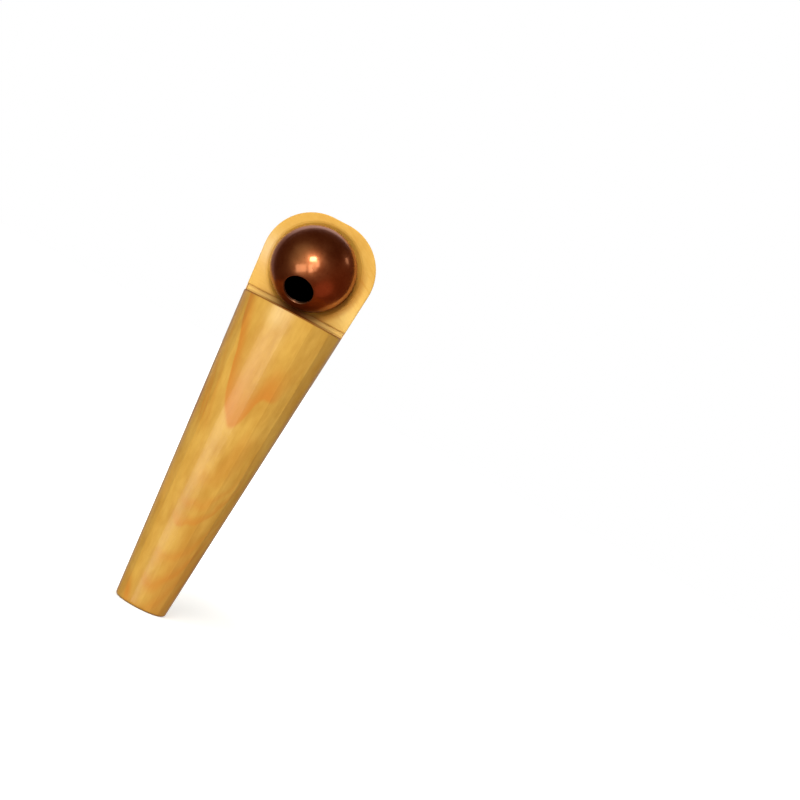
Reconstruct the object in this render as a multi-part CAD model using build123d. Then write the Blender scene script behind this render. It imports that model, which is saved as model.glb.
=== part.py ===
from build123d import *
import math
import os

# Bird call: a turned wooden cone, sawn half away at its thick end, with a hollow
# copper ball glued into a round seat in the sawn face. Breath goes in at the thin
# end, runs up a slanted windway and crosses the ball's sound hole.
# Millimetres. +Z runs from the mouth end, which is flat on z = 0, to the crown.
# The sawn face and the ball look towards -Y.

# Copper ball
ball_diameter = 16.0
ball_wall = 0.5
sound_hole_diameter = 5.8
sound_hole_tilt = 41.0        # degrees, from straight ahead down towards the mouth
sound_hole_edge = 0.12        # deburring of the hole

# How the ball sits
seat_clearance = 0.45         # radius of the seat beyond the radius of the ball
seat_bevel = 0.7              # breadth of the bevelled rim of the seat, at 45 degrees
seat_offset = 0.3             # seat drilled by hand, this far to the left of the middle
ball_stand_out = 2.0          # ball centre in front of the sawn face
shoulder_gap = 1.0            # lowest point of the ball above the shoulder
glue_thickness = 0.3          # behind the ball, where the bed is thinnest
glue_level = 1.2              # top of the glue, behind the sawn face

# Windway
windway_rise = 60.5           # mouth end to shoulder
windway_diameter = 4.0
windway_front_wall = 1.2      # wood in front of the windway at the shoulder
windway_lip = 0.4             # bevel where the windway opens at the mouth end

# Turned body
mouth_diameter = 10.0
mouth_edge = 0.6              # rounding of the mouth end's rim
head_wall = 1.6               # wood beside the seat on its thin side, at the height of the ball
crown_wall = 1.3              # wood above the seat
crown_flat_diameter = 3.0     # flat spot in the middle of the rounded crown

# Saw cuts
kerf_width = 1.15
kerf_depth = 0.35             # how far the cross cut runs past the sawn face
edge_break = 0.2              # sanding of the sawn edges

# Sizes that follow from those above
ball_radius = ball_diameter / 2
ball_height = windway_rise + shoulder_gap + ball_radius
seat_radius = ball_radius + seat_clearance
seat_depth = ball_radius - ball_stand_out + glue_thickness
seat_mouth_radius = math.sqrt(seat_radius**2 - (seat_radius - seat_depth) ** 2)
seat_rim_radius = seat_mouth_radius + seat_bevel
head_radius = seat_rim_radius + seat_offset + head_wall
body_length = ball_height + seat_rim_radius + crown_wall
mouth_radius = mouth_diameter / 2
taper = (head_radius - mouth_radius) / ball_height
shoulder_radius = mouth_radius + taper * windway_rise
corner_radius = mouth_radius + taper * body_length
crown_tangent = corner_radius - crown_flat_diameter / 2
crown_radius = crown_tangent * math.tan((math.pi / 2 - math.atan(taper)) / 2)
windway_radius = windway_diameter / 2
windway_exit = shoulder_radius - windway_front_wall - windway_radius
past_body = 2 * body_length

ball_centre = (-seat_offset, -ball_stand_out, ball_height)
seat_centre = (-seat_offset, seat_depth - seat_radius, ball_height)


def turned_cone():
    """Cone as it comes off the lathe, with its rounded crown and mouth rim."""
    outline = Polyline(
        (0, 0),
        (mouth_radius, 0),
        (corner_radius, body_length),
        (0, body_length),
        close=True,
    )
    section = make_face(outline)
    crown_corner = section.vertices().sort_by_distance((corner_radius, body_length))[0]
    section = fillet(crown_corner, crown_radius)
    mouth_corner = section.vertices().sort_by_distance((mouth_radius, 0))[0]
    section = fillet(mouth_corner, mouth_edge)
    return revolve(Plane.YZ * section, Axis.Z)


def saw_cuts():
    """Front half of the thick end, and the cross cut that runs a little too deep."""
    up_and_front = (Align.CENTER, Align.MAX, Align.MIN)
    front_half = Box(past_body, past_body, past_body, align=up_and_front)
    kerf = Box(past_body, past_body, kerf_width, align=up_and_front)
    return Pos(0, 0, windway_rise) * (front_half + Pos(0, kerf_depth, 0) * kerf)


def round_at(centre, radius):
    """Full sphere whose poles and seam stay in front of the sawn face."""
    return Plane(origin=centre, x_dir=(0, -1, 0), z_dir=(1, 0, 0)) * Sphere(radius)


def ball_seat():
    """Round seat, deeper and wider than the ball by the glue and the clearance."""
    return round_at(seat_centre, seat_radius)


def seat_rim():
    """Bevel round the mouth of the seat, from just in front of the sawn face inwards."""
    front = seat_bevel / 10
    depth = 2 * seat_bevel
    bottom = Plane(origin=(-seat_offset, depth, ball_height), x_dir=(0, 0, -1), z_dir=(0, -1, 0))
    upwards = (Align.CENTER, Align.CENTER, Align.MIN)
    cone = Cone(seat_rim_radius - depth, seat_rim_radius + front, depth + front, align=upwards)
    return bottom * cone


def windway():
    """Straight drilled hole from the middle of the mouth end out through the shoulder."""
    run = Vector(0, -windway_exit, windway_rise)
    middle = Plane(origin=run / 2, z_dir=run)
    return middle * Cylinder(windway_radius, run.length + 2 * windway_diameter)


def sanded(body):
    """Body with the edges of its sawn faces and of the windway's mouth broken."""
    sawn_face = body.faces().filter_by(Plane.XZ).sort_by(SortBy.AREA)[-1]
    kerf_edges = sawn_face.edges().group_by(Axis.Z)[0]
    body = chamfer(sawn_face.edges() - kerf_edges, edge_break)
    shoulder = body.faces().filter_by(Plane.XY).sort_by(SortBy.AREA)[-1]
    body = chamfer(shoulder.edges().sort_by(SortBy.LENGTH)[-1], edge_break)
    mouth_end = body.faces().sort_by(Axis.Z)[0]
    return chamfer(mouth_end.inner_wires()[0].edges(), windway_lip)


def turned_body():
    return sanded(turned_cone() - saw_cuts() - ball_seat() - seat_rim() - windway())


def copper_ball():
    """Hollow ball, spun about its sound hole, which is turned towards the windway."""
    ring = Rot(0, 0, 180) * (Circle(ball_radius) - Circle(ball_radius - ball_wall))
    right_half = Rectangle(ball_radius, ball_diameter, align=(Align.MIN, Align.CENTER))
    hole = Rectangle(sound_hole_diameter / 2, ball_radius, align=(Align.MIN, Align.MIN))
    section = (ring & right_half) - hole
    hole_corners = section.vertices().sort_by(Axis.Y)[-2:]
    ball = revolve(Plane.XZ * chamfer(hole_corners, sound_hole_edge), Axis.Z)
    hole_axis = Vector(0, -1, 0).rotate(Axis.X, sound_hole_tilt)
    return Plane(origin=ball_centre, z_dir=hole_axis) * ball


def glue_bed():
    """Glue between the ball and the bottom of its seat, which also seals the gap."""
    behind = (Align.CENTER, Align.MIN, Align.CENTER)
    below_level = Pos(0, glue_level, ball_height) * Box(past_body, past_body, past_body, align=behind)
    return (ball_seat() & below_level) - round_at(ball_centre, ball_radius)


pieces = {
    "turned_body": turned_body(),
    "copper_ball": copper_ball(),
    "glue_bed": glue_bed(),
}

os.makedirs("parts", exist_ok=True)
for name, piece in pieces.items():
    export_step(piece, f"parts/{name}.step")
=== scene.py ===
import math

import bmesh
import bpy
from mathutils import Matrix, Vector


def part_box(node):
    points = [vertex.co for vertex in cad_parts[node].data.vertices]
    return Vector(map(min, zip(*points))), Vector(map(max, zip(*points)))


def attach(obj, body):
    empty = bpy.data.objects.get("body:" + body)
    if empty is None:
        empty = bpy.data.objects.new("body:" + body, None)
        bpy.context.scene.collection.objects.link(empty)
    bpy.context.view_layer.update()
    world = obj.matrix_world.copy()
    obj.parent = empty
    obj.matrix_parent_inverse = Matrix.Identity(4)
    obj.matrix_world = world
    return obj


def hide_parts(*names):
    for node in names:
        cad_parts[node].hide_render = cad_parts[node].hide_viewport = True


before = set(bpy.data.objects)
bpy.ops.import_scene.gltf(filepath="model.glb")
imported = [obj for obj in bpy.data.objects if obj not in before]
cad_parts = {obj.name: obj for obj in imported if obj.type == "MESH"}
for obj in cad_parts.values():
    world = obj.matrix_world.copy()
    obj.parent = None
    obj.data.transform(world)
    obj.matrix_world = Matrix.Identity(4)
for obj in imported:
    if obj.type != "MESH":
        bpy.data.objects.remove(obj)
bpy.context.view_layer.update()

# Bird call in metres, in the frame of its drawing: it stands on its mouth end at z = 0,
# and the sawn face with the copper ball looks towards -Y.
mm = 0.001

# Places taken from the frame
ball_low, ball_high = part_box("copper_ball")
ball_centre = (ball_low + ball_high) / 2
ball_radius = (ball_high.x - ball_low.x) / 2
_, body_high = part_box("turned_body")

# Copper ball
ball_wall = 0.5 * mm
sound_hole_radius = 2.9 * mm
sound_hole_tilt = math.radians(41.0)     # from straight ahead down towards the mouth
sound_hole_axis = Vector((0, -math.cos(sound_hole_tilt), -math.sin(sound_hole_tilt)))
sound_hole_edge = 0.14 * mm              # rounding of the hole's edges

# Seat of the ball and the glue in it
body_front = 0.0                         # the sawn face
seat_radius = 8.45 * mm
seat_depth = 6.3 * mm
glue_front = 3.2 * mm                    # edge of the glue, behind the middle of the ball

# Fineness of the ball and the glue
turns = 160                              # segments all round
ball_arc_steps = 72                      # from the ball's back to its sound hole
glue_arc_steps = 40                      # from the glue's back to its front
glue_front_steps = 14                    # across the sunken front of the glue
weld = 1e-6                              # points nearer than this become one
sharp = math.radians(35.0)               # edges that turn by more than this are rounded

# Turned cone, in millimetres because its finish is drawn in them
mouth_radius = 5.0
taper = 0.08305                          # growth of the radius over height
crown_radius = 9.311
crown_flat = 1.5                         # radius of the flat spot in the crown
shoulder_height = 60.5
kerf_top = 61.65
seat_rim = 8.8                           # radius of the bevelled rim of the seat
body_length = body_high.z / mm


class Value:
    """One output of a shader node. Arithmetic on values adds Math nodes."""

    def __init__(self, shader, socket):
        self.shader = shader
        self.socket = socket

    def __add__(self, other):
        return self.shader.maths("ADD", self, other)

    def __radd__(self, other):
        return self.shader.maths("ADD", other, self)

    def __sub__(self, other):
        return self.shader.maths("SUBTRACT", self, other)

    def __rsub__(self, other):
        return self.shader.maths("SUBTRACT", other, self)

    def __mul__(self, other):
        return self.shader.maths("MULTIPLY", self, other)

    def __rmul__(self, other):
        return self.shader.maths("MULTIPLY", other, self)

    def __truediv__(self, other):
        return self.shader.maths("DIVIDE", self, other)

    def __neg__(self):
        return self.shader.maths("MULTIPLY", self, -1.0)

    def outputs(self):
        """Every output of the node that this value comes from."""
        return [Value(self.shader, socket) for socket in self.socket.node.outputs]


class Shader:
    """A node tree that is being drawn. node() adds any node, the rest are short forms of it."""

    def __init__(self, owner):
        owner.use_nodes = True
        self.tree = owner.node_tree
        self.tree.nodes.clear()

    def node(self, kind, settings=None, sockets=None, output=0):
        made = self.tree.nodes.new("ShaderNode" + kind)
        for name, setting in (settings or {}).items():
            setattr(made, name, setting)
        for name, value in (sockets or {}).items():
            if isinstance(value, Value):
                self.tree.links.new(value.socket, made.inputs[name])
            else:
                made.inputs[name].default_value = value
        return Value(self, made.outputs[output]) if made.outputs else None

    def maths(self, operation, first, second=0.0):
        return self.node("Math", {"operation": operation}, {0: first, 1: second})

    def place(self):
        """Object coordinates in millimetres."""
        metres = self.node("TexCoord", output="Object")
        return self.node("VectorMath", {"operation": "SCALE"}, {0: metres, "Scale": 1 / mm})

    def stretch(self, place, scale):
        return self.node("VectorMath", {"operation": "MULTIPLY"}, {0: place, 1: scale})

    def length(self, vector):
        return self.node("VectorMath", {"operation": "LENGTH"}, {0: vector}, "Value")

    def noise(self, place, size, detail=2.0, roughness=0.5):
        """Cloudy noise from 0 to 1, whose lumps are about size millimetres across."""
        sockets = {"Vector": place, "Scale": 1 / size, "Detail": detail, "Roughness": roughness}
        return self.node("TexNoise", {}, sockets)

    def step(self, value, low, high):
        """0 at low, 1 at high, with a soft ramp between."""
        sockets = {"Value": value, "From Min": low, "From Max": high}
        return self.node("MapRange", {"interpolation_type": "SMOOTHSTEP"}, sockets)

    def bell(self, value, middle, width):
        """1 at middle, falling off to both sides."""
        offset = (value - middle) / width
        return self.maths("EXPONENT", -(offset * offset))

    def mix(self, share, first, second):
        """Colour that goes from first to second as share goes from 0 to 1."""
        return self.node("Mix", {"data_type": "RGBA"}, {0: share, 6: first, 7: second}, 2)

    def bump(self, height, distance, normal=None):
        """Bump from a height of 0 to 1 that stands for distance millimetres."""
        sockets = {"Height": height, "Distance": distance * mm}
        if normal is not None:
            sockets["Normal"] = normal
        return self.node("Bump", {}, sockets)

    def principled(self, sockets):
        return self.node("BsdfPrincipled", {}, sockets)

    def finish(self, surface):
        self.node("OutputMaterial", {}, {"Surface": surface})


def colour(red, green, blue):
    """Linear colour from the usual 0 to 255 screen values."""
    def linear(level):
        level /= 255
        return level / 12.92 if level <= 0.04045 else ((level + 0.055) / 1.055) ** 2.4
    return (linear(red), linear(green), linear(blue), 1.0)


# Turned outside of the wood
deep_earlywood = colour(199, 146, 53)
pale_earlywood = colour(221, 174, 78)
tanned_earlywood = colour(196, 126, 40)
rosy_earlywood = colour(226, 154, 80)
# Painted highlight: paler wood near the top of the front
highlight_cream = colour(244, 212, 144)
latewood_orange = colour(208, 130, 42)
dark_fibre = colour(190, 124, 46)
# Painted shadow line along the front edge of the shoulder
shoulder_shadow_brown = colour(140, 84, 24)

# Sawn faces of the wood
deep_saw_mark = colour(228, 178, 82)
pale_saw_mark = colour(248, 206, 118)
slanting_grain = colour(212, 146, 58)
tanned_crown = colour(214, 164, 74)
# Painted highlights: paler patches at both sides of the sawn face
left_highlight_cream = colour(255, 230, 180)
right_highlight_cream = colour(255, 222, 136)
# Painted light: the bevel round the seat made paler
lit_bevel_wood = colour(248, 192, 78)
# Painted shadow of the ball on the sawn face
ball_shadow_brown = colour(176, 108, 32)
# Kerf: fresh wood, paler also as painted light on its back wall
fresh_lit_kerf = colour(255, 220, 130)
# Painted shadow line along the top of the kerf
kerf_shadow_brown = colour(168, 108, 36)
# End grain, darkened further as painted shade on the shoulder
shaded_end_grain = colour(150, 88, 34)
# Painted shadow under the ball, red with the ball's painted reflection
ball_shadow_red = colour(120, 38, 8)
# Painted shadow along the bottom of the kerf
corner_shadow_brown = colour(114, 50, 6)

# Figure of the turned outside
slant_end, v_start = 26.0, 37.0          # heights between which slanted bands turn into the V
front_full, front_end = -3.0, 0.0        # depths between which the front's figure fades out
growth_lean = 0.091                      # how much the growth surfaces lean back over height
flat_angle = math.radians(24.0)          # one scraped flat, of fifteen round the cone

# Latewood bands: where each starts, counted across the growth surfaces in millimetres,
# how thick it is, how dark it is and how soft its lower side is
LATEWOOD = [
    (-8.2, 1.0, 0.6, 0.25),
    (-6.6, 0.8, 0.5, 0.25),
    (-5.0, 1.1, 0.7, 0.25),
    (-3.2, 0.9, 0.5, 0.25),
    (-1.6, 1.2, 0.8, 0.25),
    (0.3, 1.0, 0.6, 0.25),
    (1.9, 1.0, 0.8, 0.25),
    (3.5, 0.8, 0.5, 0.25),
    (4.7, 0.7, 0.4, 0.4),
    (5.65, 0.7, 0.7, 0.4),
    (6.6, 0.6, 0.5, 0.4),
    (8.0, 0.5, 0.7, 0.15),
    (8.55, 0.5, 0.5, 0.3),
    (9.4, 1.0, 0.3, 0.7),
    (11.35, 1.6, 1.05, 0.25),
]

# Short dark streaks on the left of the front: how far each leans to the left over height,
# the x of its line at the mouth end, its breadth, the height of its middle, its length
# and how dark it is
STREAKS = [
    (0.28, 5.3, 0.5, 39.0, 3.5, 0.4),
    (0.3, -2.2, 0.65, 2.0, 2.6, 2.1),
    (0.0, -5.4, 0.9, 22.5, 4.0, 0.7),
]


def turned_outside(wood, radius, y, z):
    """1 on the turned outside, 0 on sawn and drilled faces, which lie deeper."""
    cone_depth = mouth_radius + taper * z - radius
    crown_middle = body_length - crown_radius
    across = wood.maths("MAXIMUM", radius - crown_flat, 0.0)
    along = z - crown_middle
    crown_depth = crown_radius - wood.maths("SQRT", across * across + along * along)
    on_crown = wood.step(z, crown_middle - 0.05, crown_middle + 0.05)
    depth = cone_depth + on_crown * (crown_depth - cone_depth)
    above_shoulder = wood.step(z, shoulder_height - 0.24, shoulder_height - 0.16)
    sawn_edge = (1 - wood.step(y, 0.2, 0.35)) * above_shoulder
    return (1 - wood.step(depth, 0.12, 0.3)) * (1 - sawn_edge)


def growth_surfaces(wood, place, x, y, z, upper, front, drift):
    """Nearly flat sheets that face the front and lean towards the crown, slanted to the
    right in the lower half of the cone and swelling beside a V in the upper half."""
    right = wood.maths("MAXIMUM", x, 0.0)
    slanted = 0.092 * x - right * right / 14.0
    swelling = 1.3 * wood.bell(x, 3.3, 2.0) + 0.5 * wood.bell(x, -5.4, 1.6)
    swelling = swelling - 0.22 * wood.maths("MINIMUM", wood.maths("MAXIMUM", x, -1.0), 4.0)
    swell = slanted + upper * (swelling - slanted)
    wander = (wood.noise(place, 4.0, 1.0) - 0.5) * (0.6 - 0.3 * upper) * (0.3 + 0.7 * front)
    return growth_lean * z - y - swell + 0.5 * drift + wander


def latewood_share(wood, growth, x, z, upper, front):
    """How much latewood shows. Each band starts on its lower side and fades out more slowly
    above, and the bands are faint low on the left and far on the right of the front."""
    bands = 0.0
    for start, thickness, darkness, softness in LATEWOOD:
        begin = wood.step(growth, start - 0.4 * softness, start + 0.6 * softness)
        fade = wood.step(growth, start + 0.4 * softness, start + thickness)
        bands = darkness * begin * (1 - fade) + bands
    low_left = (1 - wood.step(x, -2.4, 0.2)) * (1 - wood.step(z, 33.0, 38.0))
    far_right = wood.step(x, 4.2, 6.4) * (0.3 + 0.7 * upper)
    faint = wood.maths("MAXIMUM", low_left, far_right)
    streaks = 0.0
    for lean, foot, breadth, height, length, darkness in STREAKS:
        line = wood.bell(x + lean * z, foot, breadth)
        streaks = darkness * line * wood.bell(z, height, length) + streaks
    return bands * (1 - 0.9 * front * faint) + 0.45 * front * streaks


def turned_figure(wood, growth, latewood, x, z, front, clouds, fibres):
    """Colour of the turned outside."""
    shade = wood.mix(clouds, deep_earlywood, pale_earlywood)
    low_right = wood.step(x, -0.5, 3.5) * (1 - wood.step(z, 6.0, 26.0))
    shade = wood.mix(0.5 * low_right, shade, tanned_earlywood)
    inside_v = wood.step(growth, 11.5, 12.4) * (1 - wood.step(growth, 12.4, 15.0))
    rosy = inside_v * wood.bell(x, -0.8, 2.2)
    shade = wood.mix(0.25 * rosy, shade, rosy_earlywood)
    # Painted highlight: paler wood near the top of the front
    top = wood.bell(x, -1.3, 1.7) * wood.step(z, 55.5, 59.0) * front
    shade = wood.mix(0.4 * top, shade, highlight_cream)
    shade = wood.mix(wood.maths("MINIMUM", 0.8 * latewood, 1.0), shade, latewood_orange)
    return wood.mix(0.2 * wood.step(fibres, 0.45, 0.8), shade, dark_fibre)


def sawn_faces(wood, x, y, z, figure, clouds, marks):
    """Colour of the sawn faces: paler, with the saw's marks, slanting grain and painted
    highlights at both sides.
    """
    along_grain = wood.node("CombineXYZ", {}, {
        "X": 0.5 * x + 0.87 * z,
        "Y": 0.1 * (0.87 * x - 0.5 * z),
        "Z": y,
    })
    slant = wood.step(wood.noise(along_grain, 0.8, 3.0, 0.6), 0.48, 0.7)
    slant = slant * (0.5 + 0.5 * wood.step(x, -2.0, 5.0))
    shade = wood.mix(marks, deep_saw_mark, pale_saw_mark)
    shade = wood.mix(0.65 * slant, shade, slanting_grain)
    crown = 0.55 * wood.step(z, 68.0, 75.0) + 0.25 * (1 - clouds)
    shade = wood.mix(crown, shade, tanned_crown)
    # Painted highlights: paler patches at both sides of the sawn face
    left = (1 - wood.step(x, -9.0, -5.5)) * wood.bell(z, 69.0, 3.0)
    shade = wood.mix(0.55 * left, shade, left_highlight_cream)
    right = wood.step(x, 6.0, 9.0) * wood.bell(z, 64.5, 3.0)
    shade = wood.mix(0.55 * right, shade, right_highlight_cream)
    return wood.mix(0.8, figure, shade)


def seat_and_kerf(wood, raw, x, y, z):
    """Adds the seat's bevel, made paler as painted light, the ball's painted shadow beside it at
    the lower right, and the kerf, which is palest where the cross cut ran too deep: fresh wood
    with painted light on its back wall and a painted shadow line along its top."""
    from_seat = wood.length(wood.node("CombineXYZ", {}, {
        "X": x - ball_centre.x / mm,
        "Z": z - ball_centre.z / mm,
    }))
    # Painted light: the bevel round the seat made paler
    bevel = 1 - wood.step(from_seat, seat_rim - 0.4, seat_rim + 0.4)
    raw = wood.mix(0.6 * bevel, raw, lit_bevel_wood)
    # Painted shadow of the ball on the sawn face at its lower right
    low_right = wood.step(x, 1.0, 5.0) * (1 - wood.step(z, 70.0, 76.0))
    painted_ball_shadow = low_right * (1 - wood.step(from_seat, seat_rim + 0.3, seat_rim + 1.5))
    raw = wood.mix(0.6 * painted_ball_shadow, raw, ball_shadow_brown)
    # The kerf paler: fresh wood, with painted light on its back wall
    in_kerf = wood.step(y, 0.1, 0.25) * (1 - wood.step(z, kerf_top - 0.1, kerf_top + 0.05))
    in_kerf = in_kerf * wood.step(z, shoulder_height - 0.05, shoulder_height + 0.05)
    raw = wood.mix(0.55 * in_kerf, raw, fresh_lit_kerf)
    # Painted shadow line along the top of the kerf
    kerf_shadow_line = wood.bell(z, kerf_top + 0.05, 0.14) * (1 - wood.step(y, 0.2, 0.3))
    return wood.mix(0.45 * kerf_shadow_line, raw, kerf_shadow_brown)


def shoulder_corner(wood, raw, x, z):
    """Adds the end grain of the shoulder, darkened further as painted shade, and painted shadow
    in the corner under the ball, red with the ball's painted reflection and brown along the
    bottom of the kerf.
    """
    # End grain of the shoulder, darkened further as painted shade
    shoulder = 1 - wood.step(z, shoulder_height + 0.02, shoulder_height + 0.06)
    raw = wood.mix(0.6 * shoulder, raw, shaded_end_grain)
    # Painted shadow under the ball, red with the ball's painted reflection
    under_ball = wood.bell(x, 0.2, 4.8) * (1 - wood.step(z, kerf_top - 0.2, kerf_top + 0.9))
    raw = wood.mix(0.9 * under_ball * (1 - shoulder), raw, ball_shadow_red)
    # Painted shadow along the bottom of the kerf, darkest under the ball
    kerf_bottom = 1 - wood.step(z, shoulder_height + 0.25, shoulder_height + 0.5)
    corner_shadow = (0.25 + 0.6 * wood.bell(x, 0.3, 6.0)) * kerf_bottom
    return wood.mix(corner_shadow, raw, corner_shadow_brown)


def scraped_outside(wood, place, x, y, radius, drift):
    """Height in millimetres of the hand-scraped outside: long flats that break up the gloss."""
    waves = wood.noise(wood.stretch(place, (1.0, 1.0, 0.28)), 2.6, 1.5)
    flats = wood.maths("ARCTAN2", x, -y) / flat_angle + 0.35 * drift - 0.3
    off_middle = flat_angle * (wood.maths("FRACT", flats) - 0.5)
    return 0.3 * waves + 0.3 * radius * off_middle * off_middle


def varnished_wood():
    """Turned wood under satin varnish, raw where it is sawn and drilled."""
    material = bpy.data.materials.new("varnished_wood")
    wood = Shader(material)
    place = wood.place()
    x, y, z = wood.node("SeparateXYZ", {}, {"Vector": place}).outputs()
    radius = wood.maths("SQRT", x * x + y * y)
    turned = turned_outside(wood, radius, y, z)
    upper = wood.step(z, slant_end, v_start)
    front = 1 - wood.step(y, front_full, front_end)

    # Cloudy colour, fibres along the wood and saw marks across it
    drift = wood.noise(wood.stretch(place, (1.0, 1.0, 0.25)), 5.0) - 0.5
    clouds = wood.noise(wood.stretch(place, (1.0, 1.0, 0.4)), 3.5, 3.0, 0.6)
    clouds = wood.step(clouds, 0.25, 0.75)
    fibres = wood.noise(wood.stretch(place, (1.0, 1.0, 0.05)), 0.35, 3.0, 0.6)
    marks = wood.noise(wood.stretch(place, (0.12, 1.0, 1.0)), 0.4, 3.0, 0.6)

    growth = growth_surfaces(wood, place, x, y, z, upper, front, drift)
    latewood = latewood_share(wood, growth, x, z, upper, front)
    figure = turned_figure(wood, growth, latewood, x, z, front, clouds, fibres)
    raw = sawn_faces(wood, x, y, z, figure, clouds, marks)
    raw = seat_and_kerf(wood, raw, x, y, z)
    raw = shoulder_corner(wood, raw, x, z)
    shade = wood.mix(turned, raw, figure)
    # Painted shadow line along the front edge of the shoulder
    shoulder_shadow_line = wood.bell(z, shoulder_height - 0.1, 0.16) * (1 - wood.step(y, 0.0, 0.1))
    shade = wood.mix(0.6 * shoulder_shadow_line, shade, shoulder_shadow_brown)

    scraped = turned * scraped_outside(wood, place, x, y, radius, drift)
    grain = wood.bump(fibres + 0.5 * marks, 0.02)
    wood.finish(wood.principled({
        "Base Color": shade,
        "Roughness": 0.7 - 0.2 * turned,
        "Specular IOR Level": 0.12,
        "Coat Weight": turned,
        "Coat Roughness": 0.27,
        "Coat IOR": 1.5,
        "Normal": wood.bump(scraped, 1.0, grain),
    }))
    return material


# Copper
deep_polish = colour(152, 100, 70)
pale_polish = colour(166, 112, 80)
polish_speck = colour(90, 50, 30)
deep_red = colour(172, 92, 54)
pale_red = colour(186, 112, 70)
red_speck = colour(80, 40, 20)
bare_copper = colour(190, 132, 100)
# Painted shade: near black inside the hollow ball
shaded_inside_black = colour(20, 14, 12)


def aged_copper():
    """Copper gone brown: a polished skin over a duller, redder one, painted near black on the
    inside as shade in the hollow, and bare round the edge of the sound hole."""
    material = bpy.data.materials.new("aged_copper")
    copper = Shader(material)
    place = copper.place()
    clouds = copper.step(copper.noise(place, 3.5, 4.0, 0.6), 0.3, 0.7)
    specks = copper.step(copper.noise(place, 0.7), 0.68, 0.76)
    middle = tuple(ball_centre / mm)
    offset = copper.node("VectorMath", {"operation": "SUBTRACT"}, {0: place, 1: middle})
    inner_radius = (ball_radius - ball_wall) / mm
    inside = 1 - copper.step(copper.length(offset), inner_radius + 0.04, inner_radius + 0.1)
    sockets = {0: offset, 1: tuple(sound_hole_axis)}
    across = copper.node("VectorMath", {"operation": "CROSS_PRODUCT"}, sockets)
    hole_radius = sound_hole_radius / mm
    edge = 1 - copper.step(copper.length(across), hole_radius + 0.1, hole_radius + 0.25)

    def skin(deep, pale, speck, roughness):
        shade = copper.mix(clouds, deep, pale)
        shade = copper.mix(0.5 * specks, shade, speck)
        shade = copper.mix(0.8 * edge, shade, bare_copper)
        # Painted shade: near black on the inside
        shade = copper.mix(inside, shade, shaded_inside_black)
        return copper.principled({"Base Color": shade, "Metallic": 1.0, "Roughness": roughness})

    polished = skin(deep_polish, pale_polish, polish_speck, 0.13)
    dull = skin(deep_red, pale_red, red_speck, 0.38)
    share = 0.5 + 0.2 * clouds
    copper.finish(copper.node("MixShader", {}, {0: share, 1: polished, 2: dull}))
    return material


# Glue: amber, darkened as painted shade in the gap round the ball
shaded_deep_amber = colour(118, 68, 20)
shaded_pale_amber = colour(150, 94, 32)


def clear_glue():
    material = bpy.data.materials.new("clear_glue")
    glue = Shader(material)
    lumps = glue.noise(glue.place(), 1.2)
    # Amber darkened as painted shade in the gap between ball and seat
    glue.finish(glue.principled({
        "Base Color": glue.mix(lumps, shaded_deep_amber, shaded_pale_amber),
        "Roughness": 0.3 + 0.2 * lumps,
        "Normal": glue.bump(lumps, 0.1),
    }))
    return material


def hollow_ball():
    """Thin ball with one hole, spun about the hole's axis, which is turned to its place."""
    ball = bmesh.new()
    for radius in (ball_radius, ball_radius - ball_wall):
        reach = math.pi - math.asin(sound_hole_radius / radius)
        back = bmesh.ops.create_vert(ball, co=(0, 0, -radius))["vert"]
        bmesh.ops.spin(ball, geom=back, angle=-reach, steps=ball_arc_steps,
                       cent=(0, 0, 0), axis=(0, 1, 0))
    rims = [v for v in ball.verts if len(v.link_edges) == 1 and v.co.z > 0]
    ball.edges.new(rims)
    profile = list(ball.edges) + list(ball.verts)
    bmesh.ops.spin(ball, geom=profile, angle=math.tau, steps=turns, use_merge=True,
                   cent=(0, 0, 0), axis=(0, 0, 1))
    bmesh.ops.remove_doubles(ball, verts=ball.verts, dist=weld)
    hole_edges = [e for e in ball.edges
                  if len(e.link_faces) == 2 and e.calc_face_angle() > sharp]
    bmesh.ops.bevel(ball, geom=hole_edges, offset=sound_hole_edge, affect="EDGES", segments=3,
                    profile=0.5, material=-1)
    bmesh.ops.recalc_face_normals(ball, faces=ball.faces)
    turn = Vector((0, 0, 1)).rotation_difference(sound_hole_axis).to_matrix().to_4x4()
    bmesh.ops.transform(ball, matrix=Matrix.Translation(ball_centre) @ turn, verts=ball.verts)
    return ball


def glue_meniscus():
    """Glue bed whose front sinks between the ball and the rim of its seat."""
    front = ball_centre.y + glue_front
    seat_middle = body_front + seat_depth - seat_radius
    outer = math.sqrt(seat_radius ** 2 - (front - seat_middle) ** 2)
    inner = math.sqrt(ball_radius ** 2 - glue_front ** 2)
    middle = (outer + inner) / 2
    arcs = [
        (seat_middle, seat_radius, outer),
        (ball_centre.y, ball_radius, inner),
    ]
    glue = bmesh.new()
    for centre, radius, reach in arcs:
        back = bmesh.ops.create_vert(glue, co=(0, centre + radius, 0))["vert"]
        angle = math.atan2(reach, front - centre)
        bmesh.ops.spin(glue, geom=back, angle=-angle, steps=glue_arc_steps,
                       cent=(0, centre, 0), axis=(0, 0, 1))
    rim = bmesh.ops.create_vert(glue, co=(outer, front, 0))["vert"]
    bmesh.ops.spin(glue, geom=rim, angle=math.pi, steps=glue_front_steps,
                   cent=(middle, front, 0), axis=(0, 0, 1))
    bmesh.ops.remove_doubles(glue, verts=glue.verts, dist=weld)
    profile = list(glue.edges) + list(glue.verts)
    bmesh.ops.spin(glue, geom=profile, angle=math.tau, steps=turns, use_merge=True,
                   cent=(0, 0, 0), axis=(0, 1, 0))
    bmesh.ops.remove_doubles(glue, verts=glue.verts, dist=weld)
    bmesh.ops.recalc_face_normals(glue, faces=glue.faces)
    bmesh.ops.translate(glue, vec=(ball_centre.x, 0, ball_centre.z), verts=glue.verts)
    return glue


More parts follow.
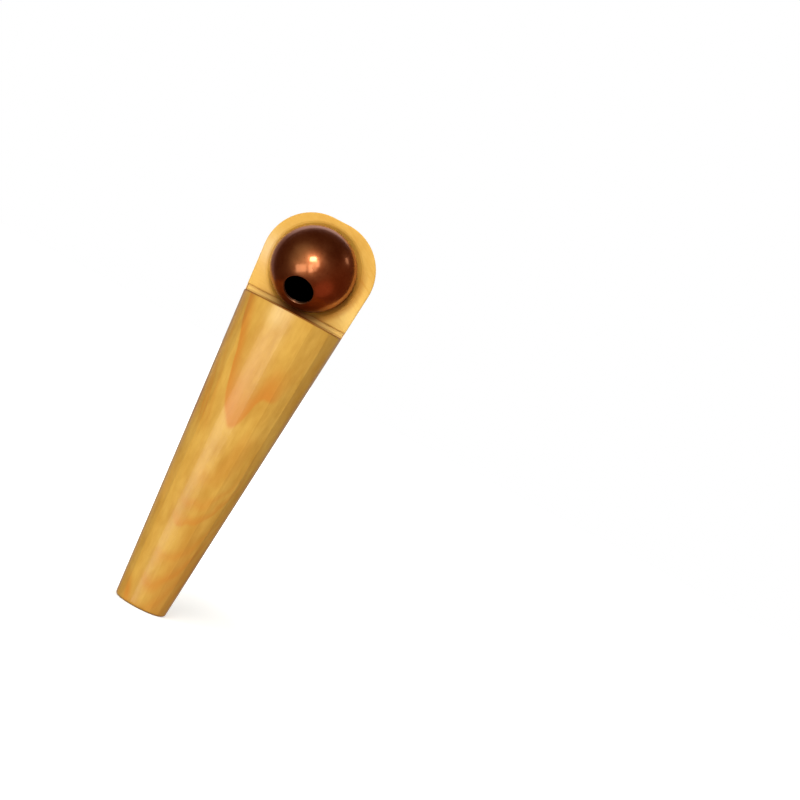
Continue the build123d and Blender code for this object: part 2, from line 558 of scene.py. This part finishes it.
def piece(name, shape, material, node):
    """Puts a finished shape into the scene, in place of the node that it stands for."""
    for face in shape.faces:
        face.smooth = True
    mesh = bpy.data.meshes.new(name)
    shape.to_mesh(mesh)
    shape.free()
    mesh.materials.append(material)
    made = bpy.data.objects.new(name, mesh)
    bpy.context.scene.collection.objects.link(made)
    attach(made, "root")
    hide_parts(node)


def finish_node(node, material):
    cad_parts[node].material_slots[0].material = material


# Camera: the photograph's view. The call stands upright here and leans to the right
# in the picture, so the camera is rolled.
image_size = 800
focal_length = 1860                      # pixels
sensor_width = 36.0
nearest = 10 * mm
roll = math.radians(27.78)
side_step = math.radians(2.5)            # round the call, towards +X
camera_place = Vector((24.77, -342.0, 55.63)) * mm


def photo_camera():
    lens = bpy.data.cameras.new("photo_camera")
    lens.sensor_width = sensor_width
    lens.lens = sensor_width * focal_length / image_size
    lens.clip_start = nearest
    camera = bpy.data.objects.new("photo_camera", lens)
    right = Vector((math.cos(roll), 0, math.sin(roll)))
    up = Vector((-math.sin(roll), 0, math.cos(roll)))
    back = Vector((0, -1, 0))
    basis = Matrix((right, up, back)).transposed().to_4x4()
    stepped = Matrix.Rotation(side_step, 4, "Z")
    camera.matrix_world = stepped @ Matrix.Translation(camera_place) @ basis
    bpy.context.scene.collection.objects.link(camera)
    bpy.context.scene.camera = camera
    return camera


# Lit panes: angles from the line of sight at the ball, to the right and up, then the
# pane's breadth and height as angles, then its brightness and whether it shows in the gloss
PANES = {
    "left_pane": (-30, -2, 28, 19, 2.6, True),
    "middle_pane": (-5, -3, 10, 21, 3.6, True),
    "right_pane": (5, 2, 14, 25, 1.6, True),
    "slanted_pane": (14, 8, 8, 15, 3.2, True),
    "lamp": (2, 21, 16, 11, 22.0, True),
    "side_glint": (104, 14, 9, 10, 2.0, True),
    "ceiling": (15, 54, 26, 20, 7.5, False),
    "right_wall": (75, 0, 30, 28, 1.9, False),
    "back_wall": (160, 5, 40, 30, 0.7, False),
}
pane_distance = 0.6
pane_light = (1.0, 0.97, 0.92)


def lit_pane(name, camera, sideways, upwards, breadth, height, brightness, in_gloss):
    """Lit rectangle that faces the ball, upright in the picture."""
    light = bpy.data.lights.new(name, "AREA")
    light.shape = "RECTANGLE"
    light.size = 2 * pane_distance * math.tan(math.radians(breadth) / 2)
    light.size_y = 2 * pane_distance * math.tan(math.radians(height) / 2)
    light.energy = brightness * math.pi * light.size * light.size_y
    light.color = pane_light
    pane = bpy.data.objects.new(name, light)
    basis = camera.matrix_world.to_3x3()
    a, b = math.radians(sideways), math.radians(upwards)
    towards = basis @ Vector((math.sin(a) * math.cos(b), math.sin(b), math.cos(a) * math.cos(b)))
    across = (basis @ Vector((0, 1, 0))).cross(towards).normalized()
    turn = Matrix((across, towards.cross(across), towards)).transposed().to_4x4()
    pane.matrix_world = Matrix.Translation(ball_centre + towards * pane_distance) @ turn
    pane.visible_glossy = in_gloss
    bpy.context.scene.collection.objects.link(pane)


# Room that the gloss mirrors, and the even light that falls on the call, all linear
white = (1.0, 1.0, 1.0, 1)
even_light = (0.42, 0.41, 0.38, 1)
dark_room = (0.08, 0.03, 0.01, 1)
warm_room = (0.18, 0.06, 0.02, 1)
front_glow = (0.42, 0.43, 0.29, 1)
red_glow = (0.5, 0.18, 0.1, 1)
low_backdrop = (0.34, 0.26, 0.25, 1)
high_backdrop = (1.0, 1.0, 1.1, 1)


def studio_world():
    """White to the camera. The gloss mirrors a dim warm room in front of the call and a
    pale backdrop behind it."""
    world = bpy.data.worlds.new("studio")
    bpy.context.scene.world = world
    air = Shader(world)
    direction = air.node("TexCoord", output="Generated")
    x, y, z = air.node("SeparateXYZ", {}, {"Vector": direction}).outputs()
    low_right = air.step(0.8 * x - 0.6 * z, -0.3, 0.9)
    room = air.mix(low_right, dark_room, warm_room)
    in_front = air.step(0.2 * z - 0.45 * x - 0.87 * y, 0.6, 1.0)
    room = air.mix(in_front, room, front_glow)
    beside = air.step(0.76 * x - 0.34 * y - 0.55 * z, 0.88, 0.97)
    room = air.mix(beside, room, red_glow)
    high = air.step(0.15 * x + 0.85 * z, 0.05, 0.4)
    backdrop = air.mix(high, low_backdrop, high_backdrop)
    behind = air.step(y - 0.18 * x - 0.22 * air.maths("MAXIMUM", x, 0.0), 0.66, 0.73)
    room = air.mix(behind, room, backdrop)
    mirrored = air.node("LightPath", output="Is Glossy Ray")
    seen = air.node("LightPath", output="Is Camera Ray")
    light = air.mix(seen, air.mix(mirrored, even_light, room), white)
    shaded = air.node("Background", {}, {"Color": light, "Strength": 1.0})
    air.node("OutputWorld", {}, {"Surface": shaded})


# Floor: white paper, greyer round the foot of the call so that its shadow shows
floor_reach = 3.0                        # half its breadth
floor_paper = (0.9, 0.9, 0.9, 1)
foot_glow = (0.4, 0.4, 0.4, 1)
foot_start, foot_end = 20.0, 150.0       # millimetres from the foot


def pale_floor():
    shape = bmesh.new()
    bmesh.ops.create_grid(shape, x_segments=2, y_segments=2, size=floor_reach)
    mesh = bpy.data.meshes.new("floor")
    shape.to_mesh(mesh)
    shape.free()
    floor = bpy.data.objects.new("floor", mesh)
    material = bpy.data.materials.new("floor")
    paper = Shader(material)
    away = paper.step(paper.length(paper.place()), foot_start, foot_end)
    paper.finish(paper.principled({
        "Base Color": floor_paper,
        "Roughness": 0.9,
        "Specular IOR Level": 0.0,
        "Emission Color": paper.mix(away, foot_glow, white),
        "Emission Strength": 1.0,
    }))
    mesh.materials.append(material)
    floor.visible_diffuse = False
    floor.visible_glossy = False
    floor.visible_shadow = False
    bpy.context.scene.collection.objects.link(floor)


finish_node("turned_body", varnished_wood())
piece("polished_ball", hollow_ball(), aged_copper(), "copper_ball")
piece("glue_meniscus", glue_meniscus(), clear_glue(), "glue_bed")

camera = photo_camera()
studio_world()
pale_floor()
for name, sizes in PANES.items():
    lit_pane(name, camera, *sizes)
bpy.context.scene.view_settings.view_transform = "Standard"
